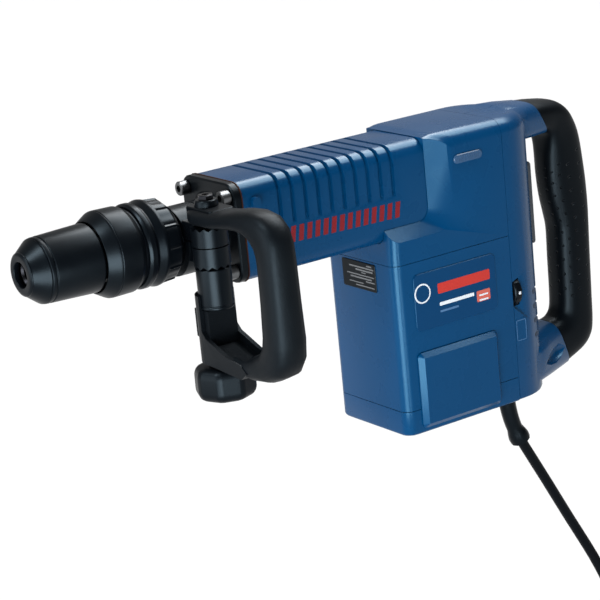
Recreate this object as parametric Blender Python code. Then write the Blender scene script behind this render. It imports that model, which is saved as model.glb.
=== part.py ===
"""Electric jackhammer with a side bow handle, a D-shaped rear grip and a mains cord.

Every size is in millimetres; MM turns it into metres when a mesh is made. The front of the nose
is at X = 0 on the drive axis, the tool points toward -X, +Z is up and the side handle is on -Y.
One parent empty moves the whole machine so that the middle of the rear grip is the origin.
"""

import math

import bmesh
import bpy
from mathutils import Vector

MM = 0.001
GAP = 0.3
GRIP_CENTRE = (552.0, 0.0, -86.0)

# hammer housing and gear housing
FRONT_X = 184.0
STEP_X = 367.4
SPLIT_X = 444.1
HAMMER_HALF_Y = 38.7
HAMMER_Z = (-43.5, 38.5)
BODY_HALF_Y = 48.9
BODY_TOP_Z = 41.0
CORNER_R = 12.0
TOP_R = 13.0
RIM_Y = 39.4
STEP_SPREAD = 20.0
LEDGE_Z = -30.7
LEDGE_SPREAD = 10.5
RIB_START_X = 221.0
RIB_PITCH = 12.7
RIB_GROOVE = 4.0
RIB_DEPTH = 2.4
RIB_COUNT = 10
RIB_FOOT_Z = -0.5

# motor housing
MOTOR_FRONT_X = 319.2
MOTOR_TOP_Z = -61.3
CAP_TOP_Z = -190.0
BASE_Z = -212.0
MOTOR_X = 386.0
MOTOR_BORE_R = 44.0

# impact mechanism
BORE_R = 24.0
CYLINDER_R = 19.0
PISTON_R = 18.7
CRANK_X = 356.0
CRANK_THROW = 15.0
ROD_LENGTH = 55.0
GEAR_TEETH = 42
PINION_TEETH = 6
GEAR_MODULE = 1.25
TIP_GAP = 0.15
ROOM_R = 32.0

# tool holder and rings
TOOL_R = 9.1
HOLDER_R = 19.0
HOLDER_REAR_R = 17.6
NECK_R = 21.0

# side handle
POST_X = 141.0
POST_Y = -53.0
LUG_R = 14.8
LUG_Z = 16.6
BOLT_R = 4.0

# rear shell, switch and dial
REAR_X = 493.0
REAR_R = 42.0
DIAL_X = 448.7
DIAL_Z = -113.5

# cord
CORD_D = 9.5
CORD_EXIT_X = 467.5
TURN_STEP = 9.7
TURN_RADIUS = 56.7
COIL_CENTRE = (650.7, 0.0, -490.0)
RELIEF_ROUTE = ((467.5, -203.0), (467.5, -216.0), (469.0, -234.0), (473.2, -252.0), (480.8, -269.5))
CORD_ROUTE = (
    (481.1, 0.0, -270.1),
    (495.9, 0.0, -296.3),
    (508.6, 0.0, -318.8),
    (521.6, 0.0, -342.3),
    (534.0, 0.0, -364.5),
    (546.0, -1.0, -386.5),
    (557.0, -3.0, -407.5),
    (567.0, -7.0, -428.5),
    (573.0, -14.0, -442.0),
)
TAIL_ROUTE = (
    (608.5, 25.0, -519.0),
    (611.5, 28.0, -533.0),
    (615.5, 29.0, -547.0),
    (618.5, 29.0, -561.0),
)
PLUG_TOP = (618.9, 29.0, -562.8)


# ---------------------------------------------------------------- materials and mesh helpers
def material(name, colour, roughness, metallic=0.0):
    made = bpy.data.materials.new(name)
    made.use_nodes = True
    shader = made.node_tree.nodes["Principled BSDF"]
    shader.inputs["Base Color"].default_value = (*colour, 1.0)
    shader.inputs["Roughness"].default_value = roughness
    shader.inputs["Metallic"].default_value = metallic
    return made


def solid(name, points, faces, look, pivot=(0.0, 0.0, 0.0), smooth=True):
    """A closed mesh from points in millimetres, with its origin at the pivot.

    Faces with sharp teeth are split.
    """
    mesh = bpy.data.meshes.new(name)
    origin = Vector(pivot)
    mesh.from_pydata([(Vector(p) - origin) * MM for p in points], [], faces)
    tidy = bmesh.new()
    tidy.from_mesh(mesh)
    bmesh.ops.remove_doubles(tidy, verts=tidy.verts, dist=0.00001)
    bmesh.ops.recalc_face_normals(tidy, faces=tidy.faces)
    if not smooth:
        bmesh.ops.triangulate(tidy, faces=tidy.faces)
    tidy.to_mesh(mesh)
    tidy.free()
    made = bpy.data.objects.new(name, mesh)
    bpy.context.scene.collection.objects.link(made)
    made.location = origin * MM
    made.parent = ROOT
    if look:
        mesh.materials.append(look)
    if smooth:
        mesh.shade_smooth()
        mesh.set_sharp_from_angle(angle=math.radians(38))
    return made


def cutter(made):
    made.hide_render = True
    made.display_type = "WIRE"
    return made


def boolean(made, operation, *others):
    for other in others:
        step = made.modifiers.new(operation.title(), "BOOLEAN")
        step.operation = operation
        step.solver = "EXACT"
        step.object = cutter(other)
    return made


def skin(loops, wrap=False):
    """Points and faces of a surface through loops of equal length, with end caps unless it wraps."""
    count = len(loops[0])
    points = [p for loop in loops for p in loop]
    faces = []
    last = len(loops) if wrap else len(loops) - 1
    for i in range(last):
        a = i * count
        b = (i + 1) % len(loops) * count
        for j in range(count):
            k = (j + 1) % count
            faces.append((a + j, a + k, b + k, b + j))
    if not wrap:
        faces.append(tuple(range(count))[::-1])
        faces.append(tuple(range(len(points) - count, len(points))))
    return points, faces


def turned(name, profile, look, centre=(0.0, 0.0, 0.0), axis="X", hollow=True, sides=28, lobe=None,
           pivot=None):
    """A turned body from (along the axis, radius) pairs; a hollow one's profile is a closed loop."""
    loops = []
    for along, radius in profile:
        loop = []
        for k in range(sides):
            turn = math.tau * k / sides
            r = lobe(along, radius, turn) if lobe else radius
            across = (r * math.cos(turn), r * math.sin(turn))
            if axis == "X":
                spot = (along, across[0], across[1])
            elif axis == "Z":
                spot = (across[0], across[1], along)
            else:
                spot = (across[1], along, across[0])
            loop.append(tuple(c + s for c, s in zip(centre, spot)))
        loops.append(loop)
    points, faces = skin(loops, wrap=hollow)
    return solid(name, points, faces, look, pivot or centre)


def rod(name, start, end, radius, look, centre=(0.0, 0.0, 0.0), axis="X", sides=20, edge=0.4, pivot=None):
    """A plain cylinder between two positions on its axis, with its edges broken."""
    edge = min(edge, radius / 3)
    profile = ((start, radius - edge), (start + edge, radius), (end - edge, radius), (end, radius - edge))
    return turned(name, profile, look, centre, axis, hollow=False, sides=sides, pivot=pivot)


def rounded(a, b, radius, steps=4):
    """A rounded rectangle between corners a and b, counterclockwise."""
    centres = (
        (b[0] - radius, b[1] - radius),
        (a[0] + radius, b[1] - radius),
        (a[0] + radius, a[1] + radius),
        (b[0] - radius, a[1] + radius),
    )
    outline = []
    for quarter, (u, v) in enumerate(centres):
        for k in range(steps + 1):
            turn = math.pi / 2 * (quarter + k / steps)
            outline.append((u + radius * math.cos(turn), v + radius * math.sin(turn)))
    return outline


def placed(outline, axis, at):
    """An outline laid in the plane across an axis."""
    if axis == "X":
        return [(at, u, v) for u, v in outline]
    if axis == "Y":
        return [(u, at, v) for u, v in outline]
    return [(u, v, at) for u, v in outline]


def prism(name, outline, axis, start, end, look=None, pivot=(0.0, 0.0, 0.0)):
    points, faces = skin([placed(outline, axis, start), placed(outline, axis, end)])
    return solid(name, points, faces, look, pivot)


def plate(name, a, b, radius, axis, start, end, look, edge=0.8, pivot=(0.0, 0.0, 0.0)):
    """A rounded rectangle with thickness, whose face at end has a bevelled rim."""
    toward = edge if end > start else -edge
    small = rounded((a[0] + edge, a[1] + edge), (b[0] - edge, b[1] - edge), max(radius - edge, 0.1))
    full = rounded(a, b, radius)
    loops = [placed(full, axis, start), placed(full, axis, end - toward), placed(small, axis, end)]
    points, faces = skin(loops)
    return solid(name, points, faces, look, pivot)


def box(name, low, high, look=None, pivot=(0.0, 0.0, 0.0), radius=1.5):
    return plate(name, low[:2], high[:2], radius, "Z", low[2], high[2], look, min(0.8, radius / 2), pivot)


def bar(name, stations, plane, power, look, shift=(0.0, 0.0, 0.0), pivot=(0.0, 0.0, 0.0), sides=28):
    """A bar through stations of (outer edge, inner edge, half width), with superellipse sections."""
    loops = []
    for outer, inner, half in stations:
        loop = []
        for k in range(sides):
            turn = math.tau * k / sides
            c = math.copysign(abs(math.cos(turn)) ** (2 / power), math.cos(turn))
            s = math.copysign(abs(math.sin(turn)) ** (2 / power), math.sin(turn))
            u = (outer[0] + inner[0]) / 2 + (outer[0] - inner[0]) / 2 * c
            v = (outer[1] + inner[1]) / 2 + (outer[1] - inner[1]) / 2 * c
            w = half * s
            spot = (u, w, v) if plane == "XZ" else (w, u, v)
            loop.append(tuple(a + b for a, b in zip(shift, spot)))
        loops.append(loop)
    points, faces = skin(loops)
    return solid(name, points, faces, look, pivot)


def spline(route, per_span):
    """Points on a smooth curve through a route."""
    ends = [2 * Vector(route[0]) - Vector(route[1]), 2 * Vector(route[-1]) - Vector(route[-2])]
    knots = [ends[0], *map(Vector, route), ends[1]]
    curve = []
    for a, b, c, d in zip(knots, knots[1:], knots[2:], knots[3:]):
        for k in range(per_span):
            t = k / per_span
            curve.append(
                0.5 * (2 * b + (c - a) * t + (2 * a - 5 * b + 4 * c - d) * t * t
                       + (3 * b - a - 3 * c + d) * t ** 3)
            )
    curve.append(knots[-2])
    return curve


def tube(name, route, diameter, look, per_span=3):
    """A round cord along a route."""
    curve = bpy.data.curves.new(name, "CURVE")
    curve.dimensions = "3D"
    points = spline(route, per_span)
    line = curve.splines.new("POLY")
    line.points.add(len(points) - 1)
    for point, spot in zip(line.points, points):
        point.co = (*(spot * MM), 1.0)
    curve.bevel_depth = diameter / 2 * MM
    curve.bevel_resolution = 2
    curve.use_fill_caps = True
    curve.materials.append(look)
    made = bpy.data.objects.new(name, curve)
    bpy.context.scene.collection.objects.link(made)
    made.parent = ROOT
    return made


# ---------------------------------------------------------------- nose and tool holder
def build_nose():
    turned(
        "dust_cap",
        ((0.0, 10.2), (0.0, 16.6), (0.8, 17.8), (13.1, 26.0), (13.7, 26.3), (13.7, 19.4), (5.9, 19.4),
         (5.9, 12.0), (3.0, 10.2)),
        RUBBER,
    )
    holder = turned(
        "tool_holder",
        ((6.3, TOOL_R + 1.2), (6.3, 17.5), (8.0, HOLDER_R), (94.0, HOLDER_R), (96.0, HOLDER_REAR_R),
         (183.0, HOLDER_REAR_R), (183.0, 13.5), (113.0, 13.5), (106.0, TOOL_R), (8.0, TOOL_R)),
        STEEL,
    )
    slots = box("holder_slots", (38.0, -4.2, -26.0), (58.0, 4.2, 26.0))
    boolean(holder, "DIFFERENCE", slots)
    rod("locking_roller_upper", 39.6, 56.4, 3.6, STEEL, (0.0, 0.0, 13.4), sides=20, pivot=(0.0, 0.0, 0.0))
    rod("locking_roller_lower", 39.6, 56.4, 3.6, STEEL, (0.0, 0.0, -13.4), sides=20, pivot=(0.0, 0.0, 0.0))
    turned(
        "locking_sleeve",
        ((14.1, 19.5), (14.1, 25.4), (15.0, 26.4), (17.6, 26.6), (18.0, 25.9), (18.8, 25.9),
         (19.2, 26.7), (59.6, 28.1), (61.0, 27.4), (61.0, 23.2), (18.4, 23.2), (18.4, 19.5)),
        BLACK_GLOSS,
    )
    turned(
        "guide_flange",
        ((61.4, 28.7), (61.4, 29.6), (70.6, 34.9), (72.0, 35.3), (93.0, 34.8), (94.0, 34.0),
         (94.4, 32.0), (100.0, 32.0), (100.0, 19.4), (76.0, 19.4), (76.0, 28.7)),
        BLACK_GLOSS,
    )
    build_spring()
    turned(
        "vario_ring",
        ((97.0, 32.5), (97.0, 34.0), (97.8, 34.6), (107.4, 34.6), (108.2, 33.8), (109.0, 33.8),
         (110.4, 34.6), (113.0, 34.6), (122.0, 33.6), (133.6, 29.6), (135.0, 28.6), (135.0, 18.1),
         (104.0, 18.1), (104.0, 32.5)),
        BLACK_GLOSS,
        lobe=ring_lobe,
        sides=48,
    )


def ring_lobe(along, radius, turn):
    """Twelve finger hollows round the rear half of the adjusting ring."""
    if along < 110.0 or radius < 28.0:
        return radius
    wave = 0.5 + 0.5 * math.cos(12 * turn)
    return radius - 1.8 * wave ** 3


def build_spring():
    turns, wire, mean, start, end = 6, 1.1, 21.1, 32.2, 73.0
    per_turn, ring = 14, 6
    loops = []
    for k in range(turns * per_turn + 1):
        turn = math.tau * k / per_turn
        along = start + (end - start) * k / (turns * per_turn)
        loop = []
        for j in range(ring):
            a = math.tau * j / ring
            r = mean + wire * math.cos(a)
            loop.append((along + wire * math.sin(a), r * math.cos(turn), r * math.sin(turn)))
        loops.append(loop)
    points, faces = skin(loops)
    solid("sleeve_spring", points, faces, STEEL)


# ---------------------------------------------------------------- front plate, neck and screws
def build_front():
    collar = plate("front_flange", (-38.9, -43.7), (38.9, 38.7), CORNER_R, "X", 182.6, 176.0,
                   BLACK_SATIN, 1.2)
    neck = rod("neck_blank", 135.5, 178.0, NECK_R, None, edge=0.8, sides=36)
    shoulder = turned(
        "neck_shoulder",
        ((158.6, NECK_R + 1.5), (160.0, 24.0), (172.0, 24.0), (174.5, 27.0), (177.5, 31.0)),
        None,
        hollow=False,
    )
    bore = rod("neck_bore", 130.0, 190.0, HOLDER_REAR_R + 0.4, None, sides=36)
    boolean(collar, "UNION", neck, shoulder)
    boolean(collar, "DIFFERENCE", bore)
    gasket = prism("front_gasket", rounded((-39.3, -44.1), (39.3, 39.1), CORNER_R), "X", 182.9, 183.7, GASKET)
    boolean(gasket, "DIFFERENCE", rod("gasket_hole", 180.0, 186.0, BORE_R, None, sides=36))
    for k, (y, z) in enumerate(((-30.5, 28.5), (30.5, 28.5), (-30.5, -33.0), (30.5, -33.0))):
        screw = turned(
            f"front_screw_{k + 1}",
            ((167.6, 5.4), (168.2, 6.0), (175.1, 6.0), (175.7, 5.4)),
            STEEL,
            (0.0, y, z),
            hollow=False,
            sides=16,
            pivot=(0.0, 0.0, 0.0),
        )
        socket = turned("screw_socket", ((160.0, 3.2), (172.0, 3.2)), None, (0.0, y, z), hollow=False,
                        sides=6)
        boolean(screw, "DIFFERENCE", socket)


# ---------------------------------------------------------------- housings
def hammer_section(x, depth):
    """The hammer housing's outline; depth sinks the part above the foot of the ribs."""
    y, low, high = HAMMER_HALF_Y, HAMMER_Z[0], HAMMER_Z[1]
    outline = rounded((-y, low), (y, high), CORNER_R, 3)
    outline = outline[:8] + [(-y, RIB_FOOT_Z), (-y, RIB_FOOT_Z - 4.0)] + outline[8:]
    outline += [(y, RIB_FOOT_Z - 4.0), (y, RIB_FOOT_Z)]
    sunk = []
    for u, v in outline:
        if v >= RIB_FOOT_Z and depth:
            u -= math.copysign(min(depth, abs(u)), u) if abs(u) > y - CORNER_R else 0.0
            v -= depth if v > high - CORNER_R else 0.0
        sunk.append((x, u, v))
    return sunk


def build_hammer_housing():
    loops = [hammer_section(FRONT_X, 0.0)]
    for k in range(RIB_COUNT):
        start = RIB_START_X + k * RIB_PITCH - RIB_GROOVE
        stops = ((0.0, 0.0), (0.9, RIB_DEPTH), (RIB_GROOVE - 0.9, RIB_DEPTH), (RIB_GROOVE, 0.0))
        loops += [hammer_section(start + along, depth) for along, depth in stops]
    loops.append(hammer_section(STEP_X, 0.0))
    points, faces = skin(loops)
    made = solid("hammer_housing", points, faces, BLUE)
    bore = rod("hammer_bore", 180.0, 370.0, BORE_R, None, sides=36)
    boolean(made, "DIFFERENCE", bore, crank_room("hammer_room"))


def crank_room(name):
    """The room in which the crank and its gear turn."""
    return rod(name, -57.5, 16.0, ROOM_R, None, (CRANK_X, 0.0, 0.0), "Z", sides=40)


def plan_outline(inset=0.0):
    """The plan of the motor housing, seen from above."""
    low = (MOTOR_FRONT_X + inset, -BODY_HALF_Y + inset)
    high = (SPLIT_X + 30.0, BODY_HALF_Y - inset)
    outline = rounded(low, high, 9.0)
    return [(min(u, SPLIT_X), v) for u, v in outline]


def gear_outline(y):
    """The gear housing's side view at a distance from the middle: an L whose inner corner is round."""
    spread = min(1.0, max(0.0, (abs(y) - RIM_Y) / (BODY_HALF_Y - RIM_Y)))
    wall = STEP_X - GAP + STEP_SPREAD * spread
    ledge = LEDGE_Z - LEDGE_SPREAD * spread
    radius = 11.0 + 5.5 * spread
    over = max(0.0, abs(y) - BODY_HALF_Y + TOP_R)
    top = BODY_TOP_Z - TOP_R + math.sqrt(TOP_R ** 2 - over ** 2)
    outline = [(SPLIT_X, MOTOR_TOP_Z + GAP), (SPLIT_X, top)]
    for back, fall in ((13.0, 0.0), (8.0, 0.5), (4.0, 1.3), (0.0, 1.7)):
        outline.append((wall + back, top - fall))
    for k in range(6):
        turn = math.pi / 2 * k / 5
        outline.append((wall - radius + radius * math.cos(turn), ledge + radius - radius * math.sin(turn)))
    return outline + [(MOTOR_FRONT_X - 5.0, ledge), (MOTOR_FRONT_X - 5.0, MOTOR_TOP_Z + GAP)]


def build_gear_housing():
    half = (36.0, RIM_Y, 41.6, 43.9, 46.2, 47.9, BODY_HALF_Y)
    points, faces = skin([placed(gear_outline(y), "Y", y) for y in [-y for y in half[::-1]] + list(half)])
    made = solid("gear_housing", points, faces, BLUE)
    seat = prism(
        "hammer_seat",
        rounded((-HAMMER_HALF_Y - 0.4, HAMMER_Z[0] - 0.4), (HAMMER_HALF_Y + 0.4, HAMMER_Z[1] + 0.4),
                CORNER_R + 0.4),
        "X", MOTOR_FRONT_X - 20.0, STEP_X + GAP,
    )
    trim = prism("gear_trim", plan_outline(), "Z", -100.0, 80.0)
    pinion_way = rod("pinion_way", -70.0, -40.0, 9.0, None, (MOTOR_X, 0.0, 0.0), "Z")
    boolean(made, "INTERSECT", trim)
    boolean(made, "DIFFERENCE", seat, crank_room("gear_room"), pinion_way)


def build_motor_housing():
    motor = prism("motor_housing", plan_outline(), "Z", CAP_TOP_Z + GAP, MOTOR_TOP_Z, BLUE)
    bore = rod("motor_bore", -200.0, -50.0, MOTOR_BORE_R, None, (MOTOR_X, 0.0, 0.0), "Z", sides=40)
    boolean(motor, "DIFFERENCE", bore)
    points, faces = skin(
        [placed(plan_outline(2.2), "Z", BASE_Z), placed(plan_outline(0.6), "Z", BASE_Z + 1.2),
         placed(plan_outline(), "Z", BASE_Z + 3.2), placed(plan_outline(), "Z", CAP_TOP_Z)]
    )
    cap = solid("motor_end_cap", points, faces, BLUE)
    boolean(cap, "DIFFERENCE", rod("bearing_seat", -203.0, -180.0, 12.4, None, (MOTOR_X, 0.0, 0.0), "Z"))
    for name, side in (("near", -1), ("far", 1)):
        y = side * (BODY_HALF_Y + GAP)
        plate(f"side_cover_{name}", (335.0, -207.0), (422.0, -140.5), 4.0, "Y", y, y + side * 5.2, BLUE, 4.0)
        plate(f"label_panel_{name}", (337.0, -122.0), (426.0, -72.0), 5.0, "Y", y, y + side * 0.8,
              LABEL_BLUE, 0.4)
    plate("rating_plate", (-22.4, -87.4), (24.6, -63.0), 1.6, "X", MOTOR_FRONT_X - GAP, MOTOR_FRONT_X - 0.9,
          BLACK_PLASTIC, 0.3)
    plate("service_lens", (390.2, 13.2), (420.8, 20.8), 3.7, "Y", -BODY_HALF_Y - GAP, -BODY_HALF_Y - 1.6,
          LENS, 0.6)


# ---------------------------------------------------------------- impact mechanism and motor
def build_mechanism():
    turned("cylinder_tube", ((190.0, CYLINDER_R), (190.0, 23.0), (326.0, 23.0), (326.0, CYLINDER_R)), STEEL)
    turned("impact_bolt", ((128.0, 12.0), (129.0, 13.0), (176.0, 13.0), (178.0, 10.0), (199.0, 10.0),
                           (200.0, 9.0)), STEEL, hollow=False)
    rod("striker", 214.0, 248.0, PISTON_R, STEEL, edge=1.0)
    pin_x = CRANK_X + CRANK_THROW - ROD_LENGTH
    piston = rod("piston", pin_x - 30.0, pin_x + 9.0, PISTON_R, ALUMINIUM, edge=1.0, sides=40)
    fork = box("piston_fork", (pin_x - 12.0, -20.0, -7.3), (pin_x + 20.0, 20.0, 7.3))
    pin_hole = rod("piston_pin_hole", -25.0, 25.0, 5.3, None, (pin_x, 0.0, 0.0), "Z")
    boolean(piston, "DIFFERENCE", fork, pin_hole)
    rod("wrist_pin", -15.5, 15.5, 5.0, STEEL, (pin_x, 0.0, 0.0), "Z")
    rod_blank = bar(
        "connecting_rod",
        (((pin_x - 9.0, 3.0), (pin_x - 9.0, -3.0), 6.0), ((pin_x - 4.0, 6.5), (pin_x - 4.0, -6.5), 8.6),
         ((pin_x + 5.0, 6.8), (pin_x + 5.0, -6.8), 8.0), ((pin_x + 14.0, 5.0), (pin_x + 14.0, -5.0), 6.0),
         ((pin_x + 41.0, 5.0), (pin_x + 41.0, -5.0), 5.8), ((pin_x + 49.0, 6.8), (pin_x + 49.0, -6.8), 9.9),
         ((pin_x + 60.0, 6.8), (pin_x + 60.0, -6.8), 10.0), ((pin_x + 65.5, 4.0), (pin_x + 65.5, -4.0), 5.5)),
        "XZ", 4.0, ALUMINIUM, pivot=(pin_x, 0.0, 0.0), sides=16,
    )
    small_eye = rod("small_eye", -20.0, 20.0, 5.3, None, (pin_x, 0.0, 0.0), "Z")
    big_eye = rod("big_eye", -20.0, 20.0, 6.6, None, (CRANK_X + CRANK_THROW, 0.0, 0.0), "Z")
    boolean(rod_blank, "DIFFERENCE", small_eye, big_eye)
    build_crank()
    build_motor()


def gear_lobe(teeth, depth):
    """Teeth with straight flanks, cut into a turned rim."""
    def shape(along, radius, turn):
        phase = (turn * teeth / math.tau) % 1.0
        flank = min(1.0, max(0.0, abs(phase - 0.5) * 8 - 1.5))
        return radius - depth * (1 - flank)
    return shape


def build_crank():
    tip_r = GEAR_TEETH * GEAR_MODULE / 2 - TIP_GAP
    centre = (CRANK_X, 0.0, 0.0)
    crank = turned("crank_wheel", ((-56.0, tip_r), (-48.0, tip_r)), STEEL, centre, "Z", hollow=False,
                   sides=GEAR_TEETH * 2, lobe=gear_lobe(GEAR_TEETH, 1.6))
    web = turned("crank_web", ((-50.0, 9.0), (-32.0, 9.0), (-31.0, 23.0), (-15.0, 23.0), (-14.0, 22.0)), None,
                 centre, "Z", hollow=False, sides=40)
    pin = rod("crank_pin", -18.0, -7.3, 6.0, None, (CRANK_X + CRANK_THROW, 0.0, 0.0), "Z")
    boolean(crank, "UNION", web, pin)


def build_motor():
    centre = (MOTOR_X, 0.0, 0.0)
    tip_r = PINION_TEETH * GEAR_MODULE / 2 - TIP_GAP
    shaft = turned("rotor_shaft", ((-201.0, 4.6), (-200.4, 5.0), (-62.0, 5.0), (-60.0, 3.0)), STEEL,
                   centre, "Z", hollow=False)
    pinion = turned("pinion", ((-61.5, tip_r), (-47.0, tip_r)), None, centre, "Z", hollow=False,
                    sides=PINION_TEETH * 6, lobe=gear_lobe(PINION_TEETH, 1.1))
    boolean(shaft, "UNION", pinion)
    hub = 5.3
    turned("rotor_core", ((-165.0, hub), (-165.0, 25.4), (-164.0, 26.4), (-111.0, 26.4), (-110.0, 25.4),
                          (-110.0, hub)), STEEL, centre, "Z",
           lobe=lambda a, r, t: r - (1.2 if r > 20 and math.cos(8 * t) > 0.3 else 0.0), sides=32)
    turned("commutator", ((-187.0, hub), (-187.0, 15.0), (-171.0, 15.0), (-170.0, 13.0), (-170.0, hub)),
           COPPER, centre, "Z")
    turned("motor_fan", ((-99.0, hub), (-99.0, 38.0), (-96.0, 39.0), (-88.0, 39.0), (-86.0, 20.0),
                         (-84.0, 12.0), (-84.0, hub)), BLACK_PLASTIC, centre, "Z",
           lobe=lambda a, r, t: r - (5.0 if r > 30 and math.cos(7 * t) > 0.2 else 0.0), sides=28)
    turned("rotor_bearing", ((-202.0, 5.3), (-202.0, 11.4), (-201.4, 12.0), (-193.6, 12.0), (-193.0, 11.4),
                             (-193.0, 5.3)), STEEL, centre, "Z")
    turned("stator_core", ((-167.0, 27.2), (-167.0, 42.6), (-166.0, 43.6), (-109.0, 43.6), (-108.0, 42.6),
                           (-108.0, 27.2)), STEEL, centre, "Z", sides=36)
    for name, side in (("near", -1), ("far", 1)):
        inner, outer = sorted((side * 15.4, side * 36.0))
        box(f"carbon_brush_{name}", (MOTOR_X - 4.0, inner, -184.0), (MOTOR_X + 4.0, outer, -173.0),
            BLACK_PLASTIC)


# ---------------------------------------------------------------- rear shells, grip, switch and dial
def rear_plan(inset):
    """The plan of the rear shell's body: straight sides that run into a round back."""
    half = BODY_HALF_Y - inset
    back = REAR_X - inset
    radius = REAR_R - inset
    front = SPLIT_X + GAP
    quarter = [
        (back - radius + radius * math.sin(math.pi / 2 * k / 8),
         -half + radius - radius * math.cos(math.pi / 2 * k / 8))
        for k in range(9)
    ]
    outline = [(front, -half), *quarter]
    return outline + [(u, -v) for u, v in outline[::-1]]


def shell_blank(name):
    levels = [(BASE_Z + 0.4, 3.0), (BASE_Z + 1.6, 0.8), (BASE_Z + 3.6, 0.0), (BODY_TOP_Z - 13.0, 0.0)]
    for k in range(1, 7):
        turn = math.pi / 2 * k / 6
        levels.append((BODY_TOP_Z - 13.0 + 13.0 * math.sin(turn), 13.0 - 13.0 * math.cos(turn)))
    points, faces = skin([placed(rear_plan(inset), "Z", z) for z, inset in levels])
    made = solid(name, points, faces, BLUE)
    upper = bar(
        "upper_arm",
        (((458.0, 35.0), (458.0, 12.0), 33.0), ((476.0, 42.3), (478.0, 10.0), 34.2),
         ((490.0, 42.2), (501.0, 9.6), 28.6), ((506.4, 40.7), (522.3, 9.4), 21.8)),
        "XZ", 3.6, None,
    )
    lower = bar(
        "lower_arm",
        (((462.0, -211.0), (462.0, -165.0), 46.0), ((478.0, -211.0), (480.0, -165.0), 42.5),
         ((505.0, -210.0), (496.0, -165.0), 31.0), ((533.0, -207.6), (518.4, -165.3), 18.8)),
        "XZ", 3.4, None,
    )
    boolean(made, "UNION", upper, lower)
    return made


def build_shells():
    for name, side in (("near", -1), ("far", 1)):
        made = shell_blank(f"handle_shell_{name}")
        inner, outer = sorted((-side * 80.0, side * 0.2))
        half = box(f"half_{name}", (430.0, inner, -230.0), (560.0, outer, 60.0))
        room = box(f"shell_room_{name}", (449.0, -33.0, -198.0), (482.0, 33.0, -16.0), radius=6.0)
        relief = rod(f"relief_hole_{name}", -220.0, -190.0, 8.7, None, (CORD_EXIT_X, 0.0, 0.0), "Z")
        switch = box(f"switch_hole_{name}", (476.0, -11.0, -90.0), (500.0, 11.0, -12.0), radius=2.0)
        cuts = [half, room, relief, switch]
        for k in range(4):
            z = -119.0 - 13.2 * k
            slot = plate(f"vent_{name}_{k}", (470.0, z - 2.6), (498.0, z + 2.6), 2.5, "Y",
                         side * 60.0, side * 20.0, None, 0.4)
            cuts.append(slot)
        scoop = bar(
            f"scoop_{name}",
            (((484.0, -189.0), (484.0, -191.0), 2.0), ((494.0, -184.0), (494.0, -195.0), 6.0),
             ((505.0, -181.5), (505.0, -196.5), 7.5), ((516.0, -180.5), (516.0, -194.5), 7.0),
             ((527.0, -185.0), (527.0, -189.0), 2.0)),
            "XZ", 2.0, None, (0.0, 0.0, 0.0), sides=20,
        )
        slide_out(scoop, side, 41.0, 505.0)
        cuts.append(scoop)
        if side < 0:
            cuts.append(rod("dial_notch", 440.0, 453.6, 14.7, None, (0.0, -38.0, DIAL_Z)))
            cuts.append(dial_recess())
        boolean(made, "DIFFERENCE", *cuts)


def dial_recess():
    """A slanting flat behind the dial, deep at the dial and level with the wall at its back edge."""
    loops = []
    for x, y, low, high in ((441.0, -44.0, -123.0, -104.5), (463.0, -47.5, -142.5, -95.5)):
        loops.append([(x, y, low), (x, y, high), (x, -56.0, high), (x, -56.0, low)])
    points, faces = skin(loops)
    return solid("dial_recess", points, faces, None)


def slide_out(made, side, at_y, at_x):
    """Turns a scoop about the vertical so that it follows the tapering side of the lower arm."""
    turn = math.radians(24.0) * -side
    for vertex in made.data.vertices:
        x, y, z = vertex.co / MM
        u = x - at_x
        vertex.co = Vector((at_x + u * math.cos(turn) - y * math.sin(turn),
                            side * (at_y - 10.0) + u * math.sin(turn) + y * math.cos(turn), z)) * MM


def build_rear_grip():
    grip = bar(
        "rear_grip",
        (
            ((507.0, 40.6), (522.8, 9.4), 21.6),
            ((522.0, 39.2), (525.8, 7.4), 20.4),
            ((540.0, 35.8), (527.4, 2.6), 18.8),
            ((553.0, 27.9), (527.4, -4.6), 17.8),
            ((561.0, 16.8), (526.8, -11.6), 17.2),
            ((566.4, 1.9), (526.4, -20.0), 17.0),
            ((569.6, -20.0), (526.4, -33.0), 17.0),
            ((571.8, -44.0), (528.2, -52.0), 17.0),
            ((572.2, -66.0), (532.0, -70.0), 17.0),
            ((571.6, -84.0), (534.4, -84.0), 17.0),
            ((570.8, -114.0), (534.0, -110.0), 17.0),
            ((570.0, -151.0), (533.6, -144.0), 17.0),
            ((569.2, -176.0), (532.2, -157.0), 17.2),
            ((565.8, -188.6), (528.2, -162.6), 17.6),
            ((555.5, -198.6), (524.0, -164.6), 18.0),
            ((533.8, -207.5), (519.2, -165.4), 18.6),
        ),
        "XZ", 2.7, RUBBER, sides=20,
    )
    return grip


def build_controls():
    plate("switch_paddle", (-9.8, -88.2), (9.8, -13.4), 3.0, "X", REAR_X - 6.0, REAR_X + 15.0, GREY, 1.4,
          (REAR_X - 2.0, 0.0, -14.5))
    box("switch_module", (452.0, -13.0, -84.0), (475.0, 13.0, -20.0), BLACK_PLASTIC)
    box("control_module", (451.0, -30.0, -160.0), (470.0, 24.0, -128.0), BLACK_PLASTIC)
    turned("speed_dial", ((445.2, 3.0), (445.2, 13.2), (446.0, 14.0), (452.4, 14.0), (453.2, 13.2),
                          (453.2, 3.0)), BLACK_PLASTIC, (0.0, -38.0, DIAL_Z), sides=36,
           lobe=lambda a, r, t: r - (0.5 if r > 10 and math.cos(18 * t) > 0 else 0.0),
           pivot=(DIAL_X, -38.0, DIAL_Z))


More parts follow.
